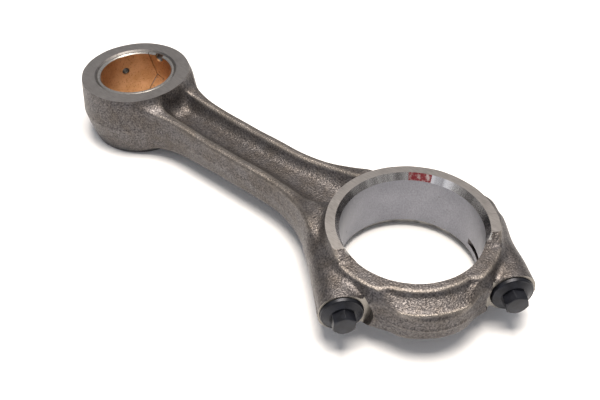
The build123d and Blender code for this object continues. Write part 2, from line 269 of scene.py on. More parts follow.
def shoulder_field(along, off, height):
    """A straight-sided taper from the ring to the rear of each boss."""
    ring_r, boss_r = 41.5, 7.6
    rear_off = -17.0
    reach = math.hypot(BOLT_ALONG, rear_off)
    forward = (np.abs(along) * BOLT_ALONG + off * rear_off) / reach
    sideways = np.abs(np.abs(along) * rear_off - off * BOLT_ALONG) / reach
    sine = (ring_r - boss_r) / reach
    cosine = math.sqrt(1 - sine**2)
    position = forward * cosine - sideways * sine
    taper = sideways * cosine + forward * sine - ring_r
    start = np.hypot(forward, sideways) - ring_r
    end = np.hypot(forward - reach, sideways) - boss_r
    outline = np.where(position < 0, start, np.where(position > cosine * reach, end, taper))
    body = trimmed(outline, height - SHOULDER_HEIGHT, SHOULDER_ROUNDING)
    return trimmed(body, off - SHOULDER_END_OFF, BOSS_ROUNDING)


# %% [markdown]
# The parts are joined from the small eye to the cap, each with the fillet that the metal left.
# A real forging is never quite even, so the whole field gets a slow wave of a tenth of
# a millimetre, and a fine ridge at mid-height where the trimmed flash was.

# %% The whole forging
BOSS_FILLET = 4.5
SHOULDER_FILLET = 3
BELT_FILLET = 1.0
BARREL_FILLET = 8
SHANK_FILLET = 4
WAVE_HEIGHT = 0.10
FLASH_HEIGHT = 0.12
CAP_FLASH_HEIGHT = 0.36      # the flash is trimmed less closely round the cap's back
FLASH_WIDTH = 0.8


def forging_field(x, y, z):
    height = np.abs(z)
    along = x * ALONG.x + y * ALONG.y
    off = x * OFF.x + y * OFF.y
    big_eye = joined(ring_field(x, y, along, off, height), boss_field(along, off, height), BOSS_FILLET)
    big_eye = joined(big_eye, shoulder_field(along, off, height), SHOULDER_FILLET)
    big_eye = joined(big_eye, belt_field(along, off, height), BELT_FILLET)
    small_eye = joined(shank_field(x, y, height), barrel_field(x, y, z), BARREL_FILLET)
    whole = joined(small_eye, big_eye, SHANK_FILLET)
    wave = np.sin(x / 4.1 + 1.3 * np.sin(y / 5.3)) * np.sin(y / 3.7 + z / 4.9)
    flash = (FLASH_HEIGHT + CAP_FLASH_HEIGHT * ease(off, 15, 30)) * np.exp(-((z / FLASH_WIDTH) ** 2))
    return whole + WAVE_HEIGHT * wave - flash


# %% [markdown]
# The field becomes a mesh by surface nets: wherever the eight corners of a small cube disagree on
# metal or air, the cube gets one point, and each grid edge that crosses the skin gets a face
# between its four cubes. The points are then moved along the field's slope until they lie on
# the skin itself. This gives an even, closed mesh that later cuts can rely on.

# %% Surface nets
NET_STEP = 0.8


def cube_points(values, cubes, low, step):
    """For each cube, the mean of the places where the skin crosses its edges."""
    corners = list(itertools.product((0, 1), repeat=3))
    at = {corner: values[tuple((cubes + corner).T)] for corner in corners}
    total = np.zeros((len(cubes), 3))
    count = np.zeros(len(cubes))
    for start, end in itertools.combinations(corners, 2):
        if sum(abs(a - b) for a, b in zip(start, end)) != 1:
            continue
        crosses = (at[start] < 0) != (at[end] < 0)
        share = at[start][crosses] / (at[start][crosses] - at[end][crosses])
        total[crosses] += np.array(start) + share[:, None] * (np.array(end) - start)
        count[crosses] += 1
    return low + (cubes + total / count[:, None]) * step


def cube_faces(inside, number):
    """One face round each grid edge that crosses the skin, turned to face the air."""
    faces = []
    for axis in range(3):
        second, third = (axis + 1) % 3, (axis + 2) % 3
        ahead = np.roll(inside, -1, axis)
        crossing = np.argwhere(inside != ahead)
        limit = np.array(inside.shape) - 1
        usable = (crossing[:, axis] < limit[axis]) & (crossing[:, second] > 0) & (crossing[:, third] > 0)
        usable &= (crossing[:, second] < limit[second]) & (crossing[:, third] < limit[third])
        edges = crossing[usable]
        ring = []
        for back_second, back_third in ((1, 1), (0, 1), (0, 0), (1, 0)):
            cube = edges.copy()
            cube[:, second] -= back_second
            cube[:, third] -= back_third
            ring.append(number[tuple(cube.T)])
        quads = np.stack(ring, 1)
        inward = ~inside[tuple(edges.T)]
        quads[inward] = quads[inward, ::-1]
        faces.append(quads)
    return np.concatenate(faces)


def settled(points, field, rounds=4, probe=0.05):
    """The points moved along the field's slope onto the skin."""
    for _ in range(rounds):
        slope = np.empty_like(points)
        for axis in range(3):
            nudge = np.zeros(3)
            nudge[axis] = probe
            slope[:, axis] = (field(*(points + nudge).T) - field(*(points - nudge).T)) / (2 * probe)
        steep = np.maximum((slope**2).sum(1), 0.2)
        move = np.clip(field(*points.T) / steep, -0.5, 0.5)
        points = points - move[:, None] * slope
    return points


def net(field, low, high, step):
    axes = [np.arange(start, end + step, step) for start, end in zip(low, high)]
    values = field(*np.meshgrid(*axes, indexing="ij"))
    inside = values < 0
    held = np.zeros([n - 1 for n in values.shape], int)
    for corner in itertools.product((0, 1), repeat=3):
        held += inside[tuple(slice(c, c + n) for c, n in zip(corner, held.shape))]
    mixed = (held > 0) & (held < 8)
    number = np.full(held.shape, -1)
    number[mixed] = np.arange(mixed.sum())
    points = cube_points(values, np.argwhere(mixed), np.array(low, float), step)
    return settled(points, field), cube_faces(inside, number)


skin_points, skin_faces = net(forging_field, (-235.2, -66.2, -21.6), (64, 60, 21.6), NET_STEP)
print("forging skin:", len(skin_points), "points,", len(skin_faces), "faces")

# %% [markdown]
# The mesh in millimetres becomes an object in metres. Machining is done as in the shop, by cutting
# tools: each is a closed solid that a boolean takes away from the forging. Turned tools come
# from an outline revolved about an axis, and milled faces from plain blocks.

# %% Meshes, tools and cuts
def piece(name, points, faces):
    """An object in metres from points in millimetres."""
    mesh = bpy.data.meshes.new(name)
    mesh.from_pydata((np.asarray(points, float) * MM).tolist(), [], [list(face) for face in faces])
    mesh.validate()
    made = bpy.data.objects.new(name, mesh)
    bpy.context.scene.collection.objects.link(made)
    return made


def axes_for(axis):
    """Two directions square to an axis; the first is level unless the axis is upright."""
    axis = Vector(axis).normalized()
    first = UP.cross(axis) if abs(axis.z) < 0.9 else Vector((1, 0, 0))
    first.normalize()
    return first, axis.cross(first), axis


def turned(name, outline, origin, axis, around=96):
    """An outline of (radius, distance along the axis) revolved into a closed solid."""
    first, second, axis = (np.array(d) for d in axes_for(axis))
    angles = np.arange(around) * 2 * math.pi / around
    points, rings = [], []
    for radius, distance in outline:
        count = around if radius > 0 else 1
        rings.append((len(points), count))
        for angle in angles[:count]:
            level = np.array(origin) + axis * distance
            points.append(level + (first * math.cos(angle) + second * math.sin(angle)) * radius)
    faces = []
    loop = outline[0][0] > 0
    pairs = list(zip(rings, rings[1:] + rings[:1])) if loop else list(zip(rings, rings[1:]))
    for (start, count), (next_start, next_count) in pairs:
        for i in range(around):
            j = (i + 1) % around
            here = [start + i, start + j] if count > 1 else [start]
            there = [next_start + j, next_start + i] if next_count > 1 else [next_start]
            faces.append(here + there)
    return facing_out(piece(name, points, faces))


def facing_out(thing):
    """Turns a closed solid's faces outward, by the sign of its volume."""
    mesh = thing.data
    mesh.calc_loop_triangles()
    volume = 0.0
    for triangle in mesh.loop_triangles:
        a, b, c = (mesh.vertices[i].co for i in triangle.vertices)
        volume += a.dot(b.cross(c))
    if volume < 0:
        mesh.flip_normals()
    return thing


def block(name, origin, directions, lows, highs):
    """A box whose sides run along three given directions."""
    points = []
    for corner in itertools.product((0, 1), repeat=3):
        sizes = [high if c else low for c, low, high in zip(corner, lows, highs)]
        points.append(Vector(origin) + sum((Vector(d) * s for d, s in zip(directions, sizes)), Vector()))
    faces = [(0, 1, 3, 2), (4, 6, 7, 5), (0, 4, 5, 1), (2, 3, 7, 6), (0, 2, 6, 4), (1, 5, 7, 3)]
    return facing_out(piece(name, points, faces))


def cut(body, tool, operation="DIFFERENCE"):
    """Cuts the tool from the body, joins it on, or keeps what both share, and removes the tool."""
    step = body.modifiers.new("cut", "BOOLEAN")
    step.operation = operation
    step.solver = "MANIFOLD"
    step.object = tool
    bpy.context.view_layer.update()
    shape = body.evaluated_get(bpy.context.evaluated_depsgraph_get())
    mesh = bpy.data.meshes.new_from_object(shape)
    body.modifiers.remove(step)
    old = body.data
    body.data = mesh
    bpy.data.meshes.remove(old)
    bpy.data.objects.remove(tool)


forging = piece("forging", skin_points, skin_faces)
print("forging made:", len(forging.data.polygons), "faces, all four-sided")

# %% [markdown]
# Both eyes are ground flat and square to their bores, which gives the crisp bright faces and
# the thin edges where they meet the rough skin. The bores are then bored through, each with
# a lead-in chamfer that also takes the sharp edge off.

# %% Grinding and boring
SMALL_FACE = 19.0
BIG_BORE_R = 34.5
SMALL_BORE_R = 23.25
OVERRUN = 5.0


def closed_bore(name, radius, chamfer, depth, face, centre):
    """A cutter for a bore right through, with a cone at each end that carries on past the face."""
    top = face + OVERRUN
    wide = radius + (top - face + depth) * chamfer / depth
    straight = face - depth
    outline = [(0, -top), (wide, -top), (radius, -straight), (radius, straight), (wide, top), (0, top)]
    return turned(name, outline, centre, UP, around=192)


LEVEL = (Vector((1, 0, 0)), Vector((0, 1, 0)), UP)
BIG_CHAMFER, BIG_CHAMFER_DEPTH = 1.95, 3.7
SMALL_CHAMFER = 1.0
for side in (1, -1):
    heights = sorted((side * THRUST_HEIGHT, side * (THRUST_HEIGHT + OVERRUN)))
    cut(forging, block("grinder", (0, 0, 0), LEVEL, (-60, -60, heights[0]), (60, 60, heights[1])))
    heights = sorted((side * SMALL_FACE, side * (SMALL_FACE + OVERRUN)))
    cut(forging, block("grinder", SMALL_EYE, LEVEL, (-40, -40, heights[0]), (40, 40, heights[1])))
cut(forging, closed_bore("big_bore", BIG_BORE_R, BIG_CHAMFER, BIG_CHAMFER_DEPTH, THRUST_HEIGHT, (0, 0, 0)))
cut(forging, closed_bore("small_bore", SMALL_BORE_R, SMALL_CHAMFER, SMALL_CHAMFER, SMALL_FACE, SMALL_EYE))
print("after grinding and boring:", len(forging.data.polygons), "faces")

# %% [markdown]
# The bolts clamp on seats that a spot-facing cutter leaves, wider than the bolt's flange, so a pale
# crescent shows beside it and the cutter's wall stands next to the belt. Each hole is
# clearance size through the cap and threaded in the rod. A disc cutter leaves the slot for
# the bearing shells' tangs, and a drilled hole oils the small eye.

# %% Spot-faces, bolt holes, tang slot and oil hole
SPOT_FACE_R = 13.5
HOLE_R = 4.2
THREAD_START = -8.0
THREAD_END = -24.5
THREAD_PITCH = 1.5
TAPPING_R = 4.05
TAPPED_DEPTH = 0.4
SPOT_FACER_HEIGHT = 12
SLOT_CUTTER_R = 12
SLOT_HALF_WIDTH = 1.7
OIL_ANGLE = math.radians(162)
OIL_DIRECTION = Vector((math.cos(OIL_ANGLE), math.sin(OIL_ANGLE), 0))
OIL_R = 2.25
OIL_HEIGHT = 7.4


def screw(name, radius_at, depth_at, start, end, along, around=64, step=0.25):
    """A closed rod with a helical thread. radius_at gives its crest and depth_at its thread depth."""
    first, second, axis = (np.array(d) for d in axes_for(OFF))
    levels = np.arange(start, end + step / 2, step)
    angles = np.arange(around) * 2 * math.pi / around
    level, angle = np.meshgrid(levels, angles, indexing="ij")
    turn = level / THREAD_PITCH - angle / (2 * math.pi)
    tooth = np.abs(2 * (turn % 1) - 1)
    radius = radius_at(level) - depth_at(level) * tooth
    centre = np.array(joint_point(along, 0))
    points = centre + level[..., None] * axis
    points = points + (radius * np.cos(angle))[..., None] * first
    points = points + (radius * np.sin(angle))[..., None] * second
    index = np.arange(levels.size * around).reshape(levels.size, around)
    ahead = np.roll(index, -1, 1)
    quads = np.stack((index[:-1], ahead[:-1], ahead[1:], index[1:]), -1).reshape(-1, 4)
    faces = quads.tolist() + [index[0, ::-1].tolist(), index[-1].tolist()]
    return facing_out(piece(name, points.reshape(-1, 3), faces))


def tapped(level):
    """Thread depth inside the hole: none in the plain part and none at the very ends."""
    run_in = ease(level, THREAD_END, THREAD_END + 2)
    return TAPPED_DEPTH * run_in * (1 - ease(level, THREAD_START - 1.5, THREAD_START))


def tap_radius(level):
    return TAPPING_R + tapped(level)


for side in (-1, 1):
    seat = joint_point(side * BOLT_ALONG, SEAT_OFF)
    facer = [(0, 0), (SPOT_FACE_R, 0), (SPOT_FACE_R, SPOT_FACER_HEIGHT), (0, SPOT_FACER_HEIGHT)]
    cut(forging, turned("spot_facer", facer, seat, OFF))
    drill = [(0, THREAD_START), (HOLE_R, THREAD_START), (HOLE_R, 40), (0, 40)]
    cut(forging, turned("drill", drill, joint_point(side * BOLT_ALONG, 0), OFF, around=64))
    cut(forging, screw("tap", tap_radius, tapped, THREAD_END, THREAD_START + 0.5, side * BOLT_ALONG))
slot_centre = joint_point(24.3, -1.0, -9.0)
slot_cutter = [
    (0, -SLOT_HALF_WIDTH),
    (SLOT_CUTTER_R, -SLOT_HALF_WIDTH),
    (SLOT_CUTTER_R, SLOT_HALF_WIDTH),
    (0, SLOT_HALF_WIDTH),
]
cut(forging, turned("slot_cutter", slot_cutter, slot_centre, UP))
oil_drill = [(0, 0), (OIL_R, 0), (OIL_R, 45), (0, 45)]
cut(forging, turned("oil_drill", oil_drill, SMALL_EYE + UP * OIL_HEIGHT, OIL_DIRECTION, around=40))
print("after drilling:", len(forging.data.polygons), "faces")

# %% [markdown]
# The cap is parted from the rod along the slanted joint. The two halves were one forging, so
# they are cut from the same solid, a hair apart: the joint shows as a fine dark line and the two
# skins run on across it.

# %% Parting the cap from the rod
JOINT_GAP = 0.05


def half(name, lows, highs):
    mesh = forging.data.copy()
    kept = bpy.data.objects.new(name, mesh)
    bpy.context.scene.collection.objects.link(kept)
    cut(kept, block("keep", (0, 0, 0), (ALONG, OFF, UP), lows, highs), "INTERSECT")
    return kept


rod = half("rod_forging", (-300, -300, -40), (300, -JOINT_GAP, 40))
cap = half("cap_forging", (-300, JOINT_GAP, -40), (300, 300, 40))
bpy.data.objects.remove(forging)
print("rod:", len(rod.data.polygons), "faces; cap:", len(cap.data.polygons), "faces")

# %% [markdown]
# The bush in the small eye is rolled from a steel strip with sintered bronze on its inside, so it
# is two thin rings. Where the strip's ends meet, they lock together in a zigzag seam that shows
# as a fine dark line. Thin blades that follow the seam cut it. An oil hole lines up with the one
# in the rod, and a notch in the upper edge lets oil in.

# %% Bush
BOND_R = 22.0
PIN_R = 21.0
BUSH_HALF_WIDTH = 18.5
BUSH_CHAMFER = 0.6
NOTCH_ANGLE = math.radians(98)
NOTCH_HALF_WIDTH = 2.75
NOTCH_DEPTH = 4.5
SEAM = [(119.6, 19.5), (107.7, 4.0), (126.7, -7.6), (113.0, -19.5)]
SEAM_BRANCH = [(107.7, 4.0), (93.8, 1.5)]


def seam_blade(name, course, width=0.45):
    """A thin closed wall that follows the seam, through both rings of the bush."""
    dense = []
    for (angle, height), (next_angle, next_height) in zip(course, course[1:]):
        for share in np.linspace(0, 1, 12, endpoint=False):
            step = (next_angle - angle, next_height - height)
            dense.append((angle + step[0] * share, height + step[1] * share))
    dense.append(course[-1])
    flat = np.array([(math.radians(angle) * BOND_R, height) for angle, height in dense])
    run = np.gradient(flat, axis=0)
    sideways = np.stack((-run[:, 1], run[:, 0]), 1) / np.hypot(*run.T)[:, None] * width / 2
    points = []
    for radius in (PIN_R - 1, SMALL_BORE_R + 0.02):
        for side in (-1, 1):
            edge = flat + side * sideways
            angle = edge[:, 0] / BOND_R
            ring = (SMALL_EYE.x + radius * np.cos(angle), radius * np.sin(angle), edge[:, 1])
            points.append(np.stack(ring, 1))
    count = len(flat)
    inner_left, inner_right, outer_left, outer_right = (np.arange(count) + i * count for i in range(4))
    faces = [(inner_left[0], inner_right[0], outer_right[0], outer_left[0])]
    faces.append((inner_left[-1], outer_left[-1], outer_right[-1], inner_right[-1]))
    edges = (inner_left, inner_right, outer_right, outer_left)
    for one, other in zip(edges, edges[1:] + edges[:1]):
        faces += [(one[i + 1], other[i + 1], other[i], one[i]) for i in range(count - 1)]
    return facing_out(piece(name, np.concatenate(points), [[int(i) for i in face] for face in faces]))


def bush_ring(name, outline):
    """One ring of the bush, with its oil hole, notch and seam."""
    ring = turned(name, outline, SMALL_EYE, UP, around=192)
    hole = [(0, 0), (OIL_R, 0), (OIL_R, 30), (0, 30)]
    cut(ring, turned("oil_drill", hole, SMALL_EYE + UP * OIL_HEIGHT, OIL_DIRECTION, around=40))
    outward = Vector((math.cos(NOTCH_ANGLE), math.sin(NOTCH_ANGLE), 0))
    foot = SMALL_EYE + UP * (BUSH_HALF_WIDTH - NOTCH_DEPTH + NOTCH_HALF_WIDTH)
    near, far = PIN_R - 11, PIN_R + 9
    drill = [(0, near), (NOTCH_HALF_WIDTH, near), (NOTCH_HALF_WIDTH, far), (0, far)]
    cut(ring, turned("notch_drill", drill, foot, outward, around=40))
    sides = (UP.cross(outward), outward, UP)
    cut(ring, block("notch_mill", foot, sides, (-NOTCH_HALF_WIDTH, near, 0), (NOTCH_HALF_WIDTH, far, 10)))
    cut(ring, seam_blade("seam_blade", SEAM))
    cut(ring, seam_blade("seam_blade", SEAM_BRANCH))
    return ring


top = BUSH_HALF_WIDTH
shell_outline = [
    (BOND_R, -top),
    (SMALL_BORE_R - BUSH_CHAMFER, -top),
    (SMALL_BORE_R, BUSH_CHAMFER - top),
    (SMALL_BORE_R, top - BUSH_CHAMFER),
    (SMALL_BORE_R - BUSH_CHAMFER, top),
    (BOND_R, top),
]
lining_outline = [
    (PIN_R, BUSH_CHAMFER - top),
    (PIN_R + BUSH_CHAMFER, -top),
    (BOND_R, -top),
    (BOND_R, top),
    (PIN_R + BUSH_CHAMFER, top),
    (PIN_R, top - BUSH_CHAMFER),
]
shell = bush_ring("bush_steel_shell", shell_outline)
lining = bush_ring("bush_bronze_lining", lining_outline)
print("bush:", len(shell.data.polygons) + len(lining.data.polygons), "faces")

# %% [markdown]
# The cap's bolts are cold-headed in one piece: a small hexagon on a flange that works as its own
# washer, a waisted stem that stretches like a spring, and a rolled thread. The hexagon's corners
# are turned off by a cone, which leaves the curved facets that every bolt head has.

# %% Bolt
FLANGE_R = 10.2
FLANGE_RIM = 1.7
FLANGE_TOP = SEAT_OFF + 3.1
HEX_ACROSS_FLATS = 10.2
HEX_TOP = FLANGE_TOP + 5.1
HEX_CROWN = 1.6              # how far down its corners the hexagon is turned
HEX_END_R = 4.75
BOLT_R = 3.95
WAIST_R = 3.4
BOLT_END = -22.5
THREAD_DEPTH = 0.65
HEX_BEVEL = 0.16


def stem_radius(level):
    """Full size at the joint and under the head, a waist between them, and a bevelled tip."""
    waist = ease(level, 7.0, 8.5) * (1 - ease(level, 26.5, 28.0))
    tip = np.clip(level - BOLT_END, 0, 1)
    return BOLT_R - (BOLT_R - WAIST_R) * waist - (1 - tip)


def stem_thread(level):
    return THREAD_DEPTH * ease(level, -22.0, -21.0) * (1 - ease(level, -10.5, -9.0))


def broken_edges(thing, width, angle):
    """Small bevels along the sharp edges, which catch the light as thin lines."""
    step = thing.modifiers.new("edges", "BEVEL")
    step.width = width * MM
    step.segments = 2
    step.limit_method = "ANGLE"
    step.angle_limit = math.radians(angle)
    bpy.context.view_layer.update()
    mesh = bpy.data.meshes.new_from_object(thing.evaluated_get(bpy.context.evaluated_depsgraph_get()))
    thing.modifiers.remove(step)
    thing.data = mesh


def cap_bolt(name, along, hex_turn):
    """A bolt in its place: the flange, the hexagon on it, then the stem with its thread."""
    seat = joint_point(along, 0)
    core = SEAT_OFF + 0.02
    flange_outline = [
        (0, core),
        (FLANGE_R - 0.2, core),
        (FLANGE_R, core + 0.2),
        (FLANGE_R - 0.4, SEAT_OFF + FLANGE_RIM - 0.25),
        (FLANGE_R - 0.65, SEAT_OFF + FLANGE_RIM),
        (FLANGE_R - 1.0, SEAT_OFF + FLANGE_RIM),
        (6.4, FLANGE_TOP),
        (0, FLANGE_TOP),
    ]
    head = turned(name, flange_outline, seat, OFF)
    first, second, axis = axes_for(OFF)
    arm = HEX_ACROSS_FLATS / math.sqrt(3)
    corners = []
    for level in (FLANGE_TOP - 1.5, HEX_TOP):
        for i in range(6):
            turn = math.radians(60 * i + hex_turn)
            outward = first * math.cos(turn) + second * math.sin(turn)
            corners.append(seat + axis * level + outward * arm)
    sides = [(i, (i + 1) % 6, (i + 1) % 6 + 6, i + 6) for i in range(6)]
    hexagon = facing_out(piece("hexagon", corners, sides + [(5, 4, 3, 2, 1, 0), (6, 7, 8, 9, 10, 11)]))
    foot, end = FLANGE_TOP - 2, HEX_TOP + 0.02
    cone = [(0, foot), (8, foot), (8, HEX_TOP - HEX_CROWN), (HEX_END_R, end), (0, end)]
    cut(hexagon, turned("corner_lathe", cone, seat, OFF), "INTERSECT")
    broken_edges(hexagon, HEX_BEVEL, angle=24)
    cut(head, hexagon, "UNION")
    cut(head, screw("stem", stem_radius, stem_thread, BOLT_END, SEAT_OFF + 0.5, along), "UNION")
    return head


bolt_side = cap_bolt("bolt_side_piece", -BOLT_ALONG, 25)
bolt_foot = cap_bolt("bolt_foot_piece", BOLT_ALONG, 45)
print("each bolt:", len(bolt_side.data.polygons), "faces")

# %% [markdown]
# Every finish below is made of nodes. Colours are written the way a paint chart gives them, as
# sRGB hex values, and one function turns them to the linear values that light needs. One more
# adds a node with its settings and its links. Pattern sizes are given in millimetres.

# %% Colours, nodes and sizes
def colour(code):
    """Linear RGBA from an sRGB hex value."""
    parts = [int(code[i : i + 2], 16) / 255 for i in (1, 3, 5)]
    linear = [p / 12.92 if p <= 0.04045 else ((p + 0.055) / 1.055) ** 2.4 for p in parts]
    return (*linear, 1.0)


def add(tree, kind, settings=None, inputs=None):
    """Adds a node. An input takes a value, or the output of the node that feeds it."""
    made = tree.nodes.new(kind)
    for name, value in (settings or {}).items():
        setattr(made, name, value)
    for name, value in (inputs or {}).items():
        if isinstance(value, bpy.types.NodeSocket):
            tree.links.new(value, made.inputs[name])
        else:
            made.inputs[name].default_value = value
    return made


def per_size(millimetres):
    """The texture scale whose features are about that many millimetres across."""
    return 1 / (millimetres * MM)


def new_material(name):
    """An empty material, its node tree and the coordinates fixed to the piece."""
    material = bpy.data.materials.new(name)
    material.use_nodes = True
    tree = material.node_tree
    tree.nodes.clear()
    place = add(tree, "ShaderNodeTexCoord").outputs["Object"]
    return material, tree, place


def finish_material(tree, base, roughness, normal, **constants):
    shader = add(tree, "ShaderNodeBsdfPrincipled", inputs={"Base Color": base, "Roughness": roughness})
    for name, value in constants.items():
        shader.inputs[name.replace("_", " ")].default_value = value
    if normal is not None:
        tree.links.new(normal, shader.inputs["Normal"])
    out = add(tree, "ShaderNodeOutputMaterial")
    tree.links.new(shader.outputs[0], out.inputs["Surface"])


print("middle grey in linear light:", round(colour("#808080")[0], 3))

# %% [markdown]
# Hot-forged steel comes out scaled, and is blasted with steel shot until the scale is gone. That
# leaves a dull grey metal covered in overlapping dimples. Real shot leaves dimples of about
# 0.3 mm, too fine to see from here, so they are drawn 0.75 mm wide. Raised edges are hit from
# both sides and rubbed in the bin, so they are lighter, and a painted highlight lightens them
# further. Hollows get a painted shade, a darker grey. How far each point stands out is measured
# on the forging's own field and stored as edge_wear_and_painted_shade.

# %% Shot-blasted forged steel
def shot_blasted_steel():
    material, tree, place = new_material("shot_blasted_forged_steel")
    grain = add(tree, "ShaderNodeTexNoise", inputs={
        "Vector": place, "Scale": per_size(0.9), "Detail": 3.0, "Roughness": 0.65})
    cloud = add(tree, "ShaderNodeTexNoise", inputs={
        "Vector": place, "Scale": per_size(9), "Detail": 4.0, "Roughness": 0.6})
    dimple = add(tree, "ShaderNodeTexVoronoi", {"feature": "SMOOTH_F1"}, {
        "Vector": place, "Scale": per_size(0.75), "Smoothness": 0.6})
    grain_share = add(tree, "ShaderNodeMapRange", inputs={
        "Value": grain.outputs["Fac"], "From Min": 0.34, "From Max": 0.68})
    cloud_share = add(tree, "ShaderNodeMapRange", inputs={
        "Value": cloud.outputs["Fac"], "From Min": 0.35, "From Max": 0.65})
    speckled = add(tree, "ShaderNodeMix", {"data_type": "RGBA"}, {
        "Factor": grain_share.outputs[0], 6: colour("#3a383a"), 7: colour("#757170")})
    tinted = add(tree, "ShaderNodeMix", {"data_type": "RGBA", "blend_type": "MULTIPLY"}, {
        "Factor": cloud_share.outputs[0], 6: speckled.outputs[2], 7: colour("#e9e3da")})
    rough = add(tree, "ShaderNodeMapRange", inputs={
        "Value": grain.outputs["Fac"], "From Min": 0.3, "From Max": 0.7, "To Min": 0.52, "To Max": 0.38})
    fine = add(tree, "ShaderNodeBump", inputs={
        "Height": dimple.outputs["Distance"], "Strength": 0.55, "Distance": 0.25 * MM})
    coarse = add(tree, "ShaderNodeBump", inputs={
        "Height": grain.outputs["Fac"], "Strength": 0.6, "Distance": 0.3 * MM, "Normal": fine.outputs[0]})
    # Ridges lighten, partly rubbed wear and partly a painted highlight; hollows darken as a painted shade.
    wear_and_shade = add(tree, "ShaderNodeAttribute", {"attribute_name": "edge_wear_and_painted_shade"}).outputs["Fac"]
    ridge = add(tree, "ShaderNodeMapRange", inputs={
        "Value": wear_and_shade, "From Min": 0.10, "From Max": 0.75, "To Max": 0.6})
    rubbed_and_highlit = add(tree, "ShaderNodeMix", {"data_type": "RGBA"}, {
        "Factor": ridge.outputs[0], 6: tinted.outputs[2], 7: colour("#c9bfb2")})
    # Painted shade: hollows go towards a dark grey.
    hollow_painted_shade = add(tree, "ShaderNodeMapRange", inputs={
        "Value": wear_and_shade, "From Min": -0.08, "From Max": -0.6, "To Max": 0.45})
    shaded = add(tree, "ShaderNodeMix", {"data_type": "RGBA"}, {
        "Factor": hollow_painted_shade.outputs[0], 6: rubbed_and_highlit.outputs[2], 7: colour("#262325")})
    finish_material(tree, shaded.outputs[2], rough.outputs[0], coarse.outputs[0], Metallic=0.85)
    return material


skin_steel = shot_blasted_steel()
print("made", skin_steel.name)

# %% [markdown]
# The faces beside the bores are ground flat. Grinding leaves a light even grey with very fine
# scratches that all run one way, so the noise is stretched along one direction. The bores
# are honed: cross-hatched too finely to see, they look like satin with a few dark pores. The
# big eye's lead-in chamfers are turned and left bright, with light and dark sectors.

# %% Ground, honed and turned steel
def worked_steel(name, light, dark, roughness, stretch, grain_mm, pores, bump, bands=0):
    """A machined finish. bands is how many light and dark sectors a turning tool left round a bore."""
    material, tree, place = new_material(name)
    lay = add(tree, "ShaderNodeMapping", inputs={"Vector": place, "Scale": stretch})
    grain = add(tree, "ShaderNodeTexNoise", inputs={
        "Vector": lay.outputs[0], "Scale": per_size(grain_mm), "Detail": 3.0, "Roughness": 0.6})
    cloud = add(tree, "ShaderNodeTexNoise", inputs={
        "Vector": place, "Scale": per_size(14), "Detail": 2.0})
    blend = add(tree, "ShaderNodeMath", {"operation": "MULTIPLY_ADD"}, {
        0: cloud.outputs["Fac"], 1: 0.5, 2: grain.outputs["Fac"]})
    share = add(tree, "ShaderNodeMapRange", inputs={
        "Value": blend.outputs[0], "From Min": 0.5, "From Max": 1.0})
    base = add(tree, "ShaderNodeMix", {"data_type": "RGBA"}, {
        "Factor": share.outputs[0], 6: colour(dark), 7: colour(light)})
    around = add(tree, "ShaderNodeTexGradient", {"gradient_type": "RADIAL"}, {"Vector": place})
    sector = add(tree, "ShaderNodeTexNoise", {"noise_dimensions": "1D"}, {
        "W": around.outputs["Fac"], "Scale": bands, "Detail": 3.0})
    band_strength = 0.85 if bands else 0.0
    band = add(tree, "ShaderNodeMapRange", inputs={
        "Value": sector.outputs["Fac"], "From Min": 0.35, "From Max": 0.65, "To Max": band_strength})
    banded = add(tree, "ShaderNodeMix", {"data_type": "RGBA"}, {
        "Factor": band.outputs[0], 6: base.outputs[2], 7: colour("#86827f")})
    spot = add(tree, "ShaderNodeTexNoise", inputs={
        "Vector": place, "Scale": per_size(2.2), "Detail": 2.0, "Roughness": 0.7})
    pore = add(tree, "ShaderNodeMapRange", inputs={
        "Value": spot.outputs["Fac"], "From Min": pores, "From Max": pores + 0.05})
    speckled = add(tree, "ShaderNodeMix", {"data_type": "RGBA"}, {
        "Factor": pore.outputs[0], 6: banded.outputs[2], 7: colour("#4b4947")})
    rough = add(tree, "ShaderNodeMapRange", inputs={
        "Value": grain.outputs["Fac"], "From Min": 0.3, "From Max": 0.7,
        "To Min": roughness - 0.06, "To Max": roughness + 0.06})
    bumped = add(tree, "ShaderNodeBump", inputs={
        "Height": grain.outputs["Fac"], "Strength": bump, "Distance": 0.05 * MM})
    finish_material(tree, speckled.outputs[2], rough.outputs[0], bumped.outputs[0], Metallic=1.0)
    return material


ground_steel = worked_steel("ground_steel", "#a19d9a", "#86827f", 0.40, (0.12, 1, 1), 0.5, 0.76, 0.3)
honed_steel = worked_steel("honed_bore_steel", "#86878d", "#6a6b72", 0.36, (1, 1, 0.6), 0.6, 0.70, 0.25)
turned_steel = worked_steel(
    "turned_chamfer_steel", "#e6e2dc", "#d2cec8", 0.24, (1, 1, 6), 0.5, 0.80, 0.15, bands=22)
milled_steel = worked_steel("spot_faced_steel", "#938f89", "#77736d", 0.34, (1, 1, 1), 0.5, 0.80, 0.2)
# The drilled finish also serves as a painted shadow on the small eye's chamfer.
drilled_steel_and_painted_shadow = worked_steel("drilled_hole_steel_and_painted_shadow", "#8b8886", "#5d5a58", 0.45, (1, 1, 1), 0.8, 0.70, 0.4)
split_steel = worked_steel("fracture_split_steel", "#a9a7a4", "#7b7977", 0.55, (1, 1, 1), 0.7, 0.66, 1.0)
print("made five machined finishes and the fracture")

# %% [markdown]
# Sintered bronze is porous: its orange-brown surface is freckled with dark pores that hold oil.
# The bush's steel back shows only as the thin pale rim round it. The bolts are phosphated and
# oiled, which is nearly black with a faint blue cast. A dab of red sorting paint marks the chamfer.

